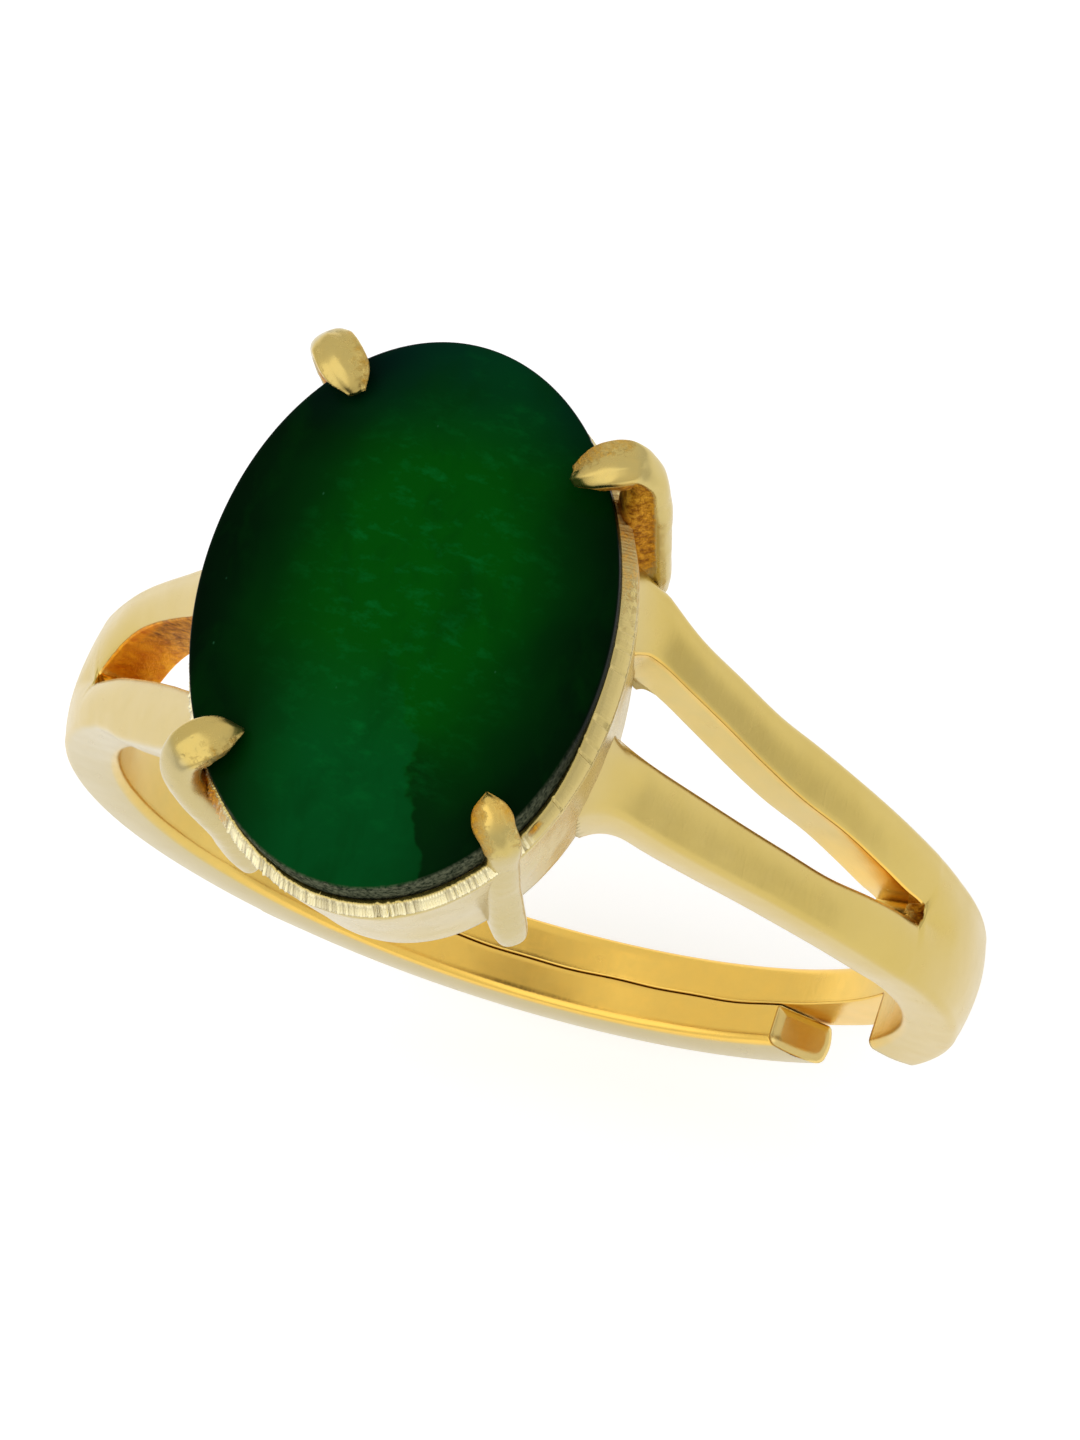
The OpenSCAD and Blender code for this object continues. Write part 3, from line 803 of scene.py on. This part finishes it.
def bearer():
    """The ledge inside the collet that carries the stone, with rounded inner edges."""
    top, low = BEARER_HIGH[2], BEARER_LOW[2]
    hole = -0.95                          # margin of the opening under the stone
    shell = Shell()
    levels = [(inside_wall(low) - 0.01, low), (hole + 0.12, low), (hole + 0.03, low + 0.04),
              (hole, low + 0.14), (hole, top - 0.14), (hole + 0.03, top - 0.04), (hole + 0.12, top),
              (inside_wall(top) - 0.01, top)]
    rings = [shell.add(seat(oval_ring(m, z, 360)), stain=0.3) for m, z in levels]
    for a, b in zip(rings, rings[1:] + rings[:1]):
        shell.strip(a, b, closed=True)
    return shell.object("bearer_ledge", DEEP)


def stone():
    """Low dome, crisp polished edge, upright frosted girdle, and the pavilion down to the bearer."""
    girdle_low = GIRDLE_TOP - GIRDLE_H
    rise = STONE_HIGH[2] - GIRDLE_TOP
    shell = Shell()
    levels = [(-3.0, 11.6, 1), (-1.05, 13.12, 1), (-0.06, girdle_low - 0.03, 1), (0.0, girdle_low + 0.05, 1),
              (0.0, girdle_low + 0.4, 1), (0.0, girdle_low + 0.8, 1), (0.0, GIRDLE_TOP - 0.09, 1),
              (-0.012, GIRDLE_TOP - 0.045, 0.6), (-0.05, GIRDLE_TOP, 0)]
    count = 320
    rings = []
    for m, z, frosted in levels:
        points = oval_ring(m, z, count)
        chips = np.array([max(0, grain(p, 5.0, 2.2) - 0.55) for p in points]) * 0.10 * (z > GIRDLE_TOP - 0.1)
        points = points * (1 - chips / 5)[:, None] * [1, 1, 0] + [0, 0, z]
        rings.append(shell.add(seat(points), pale=frosted))
    edge = oval_ring(-0.05, 0.0, count)
    for r in np.linspace(0, 1, 41)[1:-1]:
        size = 1 - r
        ring = edge * size + [0, 0, GIRDLE_TOP + (rise - 0.02) * (1 - size**2.1)]
        rings.append(shell.add(seat(ring)))
    peak = shell.add(seat([[0, 0, GIRDLE_TOP + rise - 0.02]]))
    for a, b in zip(rings, rings[1:]):
        shell.strip(a, b, closed=True)
    shell.strip(rings[-1], peak * count, closed=True)
    shell.faces.append(rings[0])
    return shell.object("oval_stone", emerald())


setting_pieces = [(collet(), "collet", "claw_gold"), (bearer(), "bearer", "deep_gold"),
                  (stone(), "stone", "emerald")]


# ---------------------------------------------------------------- claws

# Rows from foot to tip: outer face x, y, z; facing direction x, y, z; width; thickness
CLAWS = {
    "front_right": [((3.12, -5.10, 9.85), (0.60, -0.78, -0.15), 0.66, 0.60),
                    ((3.20, -5.13, 10.6), (0.62, -0.78, -0.05), 0.78, 0.66),
                    ((3.33, -4.98, 12.3), (0.62, -0.78, 0.0), 0.80, 0.66),
                    ((3.52, -4.80, 14.0), (0.62, -0.77, 0.10), 0.80, 0.60),
                    ((3.62, -4.68, 14.8), (0.58, -0.72, 0.38), 0.82, 0.56),
                    ((3.50, -4.50, 15.22), (0.42, -0.55, 0.72), 0.84, 0.46),
                    ((3.32, -4.24, 15.50), (0.10, -0.12, 1.0), 0.90, 0.40),
                    ((3.14, -3.90, 15.60), (-0.10, 0.20, 0.96), 0.62, 0.32),
                    ((3.02, -3.66, 15.50), (-0.25, 0.42, 0.88), 0.06, 0.12)],
    "rear_right": [((4.00, 3.00, 10.7), (0.90, 0.42, -0.1), 0.60, 0.60),
                   ((4.18, 3.14, 11.5), (0.90, 0.42, -0.1), 0.80, 0.80),
                   ((4.34, 3.48, 13.0), (0.88, 0.48, 0.0), 0.86, 0.95),
                   ((4.46, 3.84, 14.4), (0.84, 0.52, 0.12), 0.88, 1.02),
                   ((4.40, 4.02, 15.2), (0.74, 0.46, 0.50), 0.90, 0.72),
                   ((4.02, 4.00, 15.85), (0.35, 0.22, 0.92), 0.96, 0.62),
                   ((3.50, 3.78, 15.98), (0.0, 0.02, 1.0), 1.02, 0.52),
                   ((3.02, 3.54, 15.84), (-0.28, -0.12, 0.95), 0.84, 0.36),
                   ((2.70, 3.40, 15.58), (-0.45, -0.18, 0.87), 0.46, 0.16)],
    "front_left": [((-2.85, -5.02, 10.2), (-0.55, -0.83, -0.1), 0.60, 0.50),
                   ((-3.02, -5.06, 11.2), (-0.57, -0.82, -0.05), 0.80, 0.66),
                   ((-3.22, -5.02, 12.6), (-0.60, -0.80, 0.0), 0.88, 0.70),
                   ((-3.58, -4.98, 14.1), (-0.62, -0.77, 0.10), 0.92, 0.72),
                   ((-3.74, -4.80, 15.0), (-0.58, -0.70, 0.42), 0.94, 0.70),
                   ((-3.54, -4.48, 15.62), (-0.36, -0.42, 0.83), 0.94, 0.62),
                   ((-3.08, -4.08, 15.84), (0.0, 0.0, 1.0), 0.98, 0.46),
                   ((-2.66, -3.80, 15.72), (0.30, 0.20, 0.93), 0.78, 0.30),
                   ((-2.36, -3.60, 15.48), (0.45, 0.30, 0.84), 0.12, 0.12)],
    "rear_left": [((-3.10, 4.85, 9.9), (-0.60, 0.78, -0.15), 0.60, 0.60),
                  ((-3.24, 5.00, 10.8), (-0.62, 0.78, -0.05), 0.80, 0.80),
                  ((-3.36, 5.14, 12.6), (-0.60, 0.80, 0.0), 0.84, 0.80),
                  ((-3.50, 5.26, 14.2), (-0.60, 0.78, 0.10), 0.86, 0.72),
                  ((-3.42, 5.28, 15.1), (-0.55, 0.70, 0.45), 0.92, 0.64),
                  ((-3.16, 5.04, 15.62), (-0.34, 0.42, 0.84), 0.98, 0.56),
                  ((-2.82, 4.68, 15.76), (0.0, 0.0, 1.0), 1.04, 0.46),
                  ((-2.48, 4.32, 15.62), (0.24, -0.32, 0.92), 0.86, 0.32),
                  ((-2.30, 4.08, 15.42), (0.30, -0.40, 0.86), 0.36, 0.12)],
}
# The filed head: height of its ridge, how far the ridge lies off the middle, how hollow its two facets are,
# and how far painted shade darkens each facet
HEADS = {
    "front_right": (0.15, 0.05, 0.05, 0.06, 0.65, 0.40),
    "rear_right": (0.18, -0.30, 0.02, 0.12, 0.0, 0.55),
    "front_left": (0.18, -0.05, 0.02, 0.08, 0.10, 0.28),
    "rear_left": (0.18, 0.15, 0.11, 0.07, 0.35, 0.15),
}
# How far down the side of each leg its rough web begins, from 1 at the outer face to -1 at the wall
WEB = {"front_right": -0.7, "rear_right": 0.35, "front_left": -0.5, "rear_left": 0.0}


def claw(corner, rows):
    """A leg with a flattened outer face, bent over the girdle to a filed, ridged head with a pointed tip."""
    table = np.array([(*p, *n, w, t) for p, n, w, t in rows])
    step = np.linalg.norm(np.diff(table[:, :3], axis=0), axis=1)
    at = np.concatenate([[0], np.cumsum(step)])
    length = at[-1]
    s = np.linspace(0, length, 110)
    data = smooth_rows(np.column_stack([at, table]), s)
    place, face = data[:, :3], unit(data[:, 3:6])
    ahead = unit(np.gradient(place, axis=0))
    face = unit(face - (face * ahead).sum(1, keepdims=True) * ahead)
    across = np.cross(ahead, face)
    phi = np.linspace(0, 2 * math.pi, 56, endpoint=False)
    c, q = np.cos(phi), np.sin(phi)
    ridge_h, ridge_at, hollow_left, hollow_right, facet_shade_left, facet_shade_right = HEADS[corner]
    seed = len(corner) + ord(corner[0])
    shell = Shell()
    rings = []
    for k in range(len(s)):
        width, thick = data[k, 6:8]
        head = float(ease((s[k] - length + 1.75) / 0.35))
        power = 0.62 - 0.22 * head
        u = np.sign(c) * np.abs(c) ** power
        v = np.sign(q) * np.abs(q) ** power
        close = math.sqrt(max(1e-4, 1 - (1 - min(1, s[k] / 0.30)) ** 2))
        left = np.clip((ridge_at - u) / (ridge_at + 1), 0, 1)
        right = np.clip((u - ridge_at) / (1 - ridge_at), 0, 1)
        facet = np.maximum(left, right)
        hollow = np.where(left > 0, hollow_left, hollow_right)
        roof = ridge_h * (1 - facet) - hollow * np.sin(math.pi * facet)
        roof = roof * head * np.clip(v * 3, 0, 1) * min(1, width / 0.7)
        roof = roof + 0.07 * (1 - u**2) * (1 - head) * np.clip(v * 3, 0, 1)
        side = ease((WEB[corner] - v) / 0.15)
        u = u * (1 - 0.16 * side * (1 - head))
        centre = place[k] - face[k] * thick / 2
        points = (centre + across[k] * (u * width / 2 * close)[:, None]
                  + face[k] * (v * thick / 2 * close + roof)[:, None])
        dents = np.array([0.015 * grain(p, 1.3, seed) + 0.007 * grain(p, 4.5, seed + 5) for p in points])
        points = points + unit(points - centre) * (dents * min(1, width / 0.5))[:, None]
        rough_side = side * float(ease((s[k] / length - 0.12) / 0.20))
        leg = (1 - head) * (1 - side)
        edge = np.clip(1 - np.abs(v) * 2.5, 0, 1) * head
        tip = float(ease((s[k] - length + 1.2) / 0.8))
        # painted shade on one facet of the head, strongest towards the tip
        top = head * np.where(left > 0, facet_shade_left * left, facet_shade_right * right) * (0.6 + 0.4 * tip)
        glow = head * (0.55 * tip if corner == "front_right" else 0.20)
        # painted sheen on the leg's outer faces, slight on the rear right claw
        pale_sheen = leg * (0.1 if corner == "rear_right" else 0.55)
        rings.append(shell.add(points, stain=np.maximum(0.9 * rough_side, top),
                               warm=np.maximum(0.30 * edge, glow), pale=pale_sheen))
    for a, b in zip(rings, rings[1:]):
        shell.strip(a, b, closed=True)
    shell.faces.append(rings[0])
    shell.faces.append(rings[-1])
    return shell.object("claw_" + corner + "_formed", CLAW)


for corner, rows in CLAWS.items():
    setting_pieces.append((claw(corner, rows), "claw_" + corner, "claw_gold"))

for piece, node, slot in setting_pieces:
    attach(piece, "setting")
    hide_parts(node)


# ---------------------------------------------------------------- floor, light and camera

FLOOR_Z = -11.6                       # a little below the band, as if it were propped up


def floor():
    """Pale table, lit from within near the ring like a light table and dimmer further off."""
    n = Nodes("pale_floor")
    flat = n.node("VectorMath", {"operation": "LENGTH"}, i0=n.place).outputs["Value"]
    pool = n.grey(flat, 260.0, 80.0)
    tone = n.grey(n.noise(0.02, 2.0), 0.2, 0.8)
    colour = n.mix(tone, (0.78, 0.78, 0.78), (0.80, 0.80, 0.80))
    glow = n.mix(pool, (0.0, 0.0, 0.0), (1.0, 1.0, 1.0))
    material = n.set(Base_Color=colour, Roughness=0.7, Emission_Color=glow, Emission_Strength=0.41,
                     Specular_IOR_Level=0.1)
    mesh = bpy.data.meshes.new("floor")
    half, z = 3.0, FLOOR_Z * MM
    corners = [(-half, -half, z), (half, -half, z), (half, half, z), (-half, half, z)]
    mesh.from_pydata(corners, [], [(0, 1, 2, 3)])
    mesh.materials.append(material)
    made = bpy.data.objects.new("floor", mesh)
    bpy.context.scene.collection.objects.link(made)


def soft_light(name, at, size, power):
    """Square area light that faces the middle of the ring. Lengths in millimetres."""
    data = bpy.data.lights.new(name, "AREA")
    data.size = size * MM
    data.energy = power
    made = bpy.data.objects.new(name, data)
    made.location = Vector(at) * MM
    made.rotation_euler = (-Vector(at)).to_track_quat("-Z", "Y").to_euler()
    bpy.context.scene.collection.objects.link(made)


def world():
    """Soft white room, a little dimmer near the horizon."""
    made = bpy.data.worlds.new("studio")
    bpy.context.scene.world = made
    made.use_nodes = True
    tree = made.node_tree
    shade = tree.nodes["Background"]
    at = tree.nodes.new("ShaderNodeTexCoord")
    split = tree.nodes.new("ShaderNodeSeparateXYZ")
    ramp = tree.nodes.new("ShaderNodeValToRGB")
    tree.links.new(at.outputs["Generated"], split.inputs[0])
    tree.links.new(split.outputs[2], ramp.inputs[0])
    tree.links.new(ramp.outputs[0], shade.inputs[0])
    stops = ((0.0, 0.74), (0.45, 0.80), (1.0, 0.80))
    points = ramp.color_ramp.elements
    points.new(0.5)
    for point, (where, value) in zip(points, stops):
        point.position = where
        point.color = (value, value, value, 1)
    shade.inputs["Strength"].default_value = 1.0


def camera():
    """Looks down on the stone from the front right, with the ring turned in the frame."""
    right = Vector((0.94083, 0.29606, -0.16487))
    up = Vector((-0.22985, 0.91503, 0.33151))
    target = Vector((-0.308, 2.452, 0.806))
    back = right.cross(up)
    distance = 603.8
    data = bpy.data.cameras.new("camera")
    data.lens = 709.8
    data.clip_start, data.clip_end = 0.01, 10
    made = bpy.data.objects.new("camera", data)
    turn = Matrix((right, up, back)).transposed()
    made.matrix_world = Matrix.Translation((target + back * distance) * MM) @ turn.to_4x4()
    bpy.context.scene.collection.objects.link(made)
    bpy.context.scene.camera = made


floor()
world()
soft_light("key", (-120, -180, 330), 520, 0.42)
camera()
bpy.context.scene.view_settings.view_transform = "Standard"
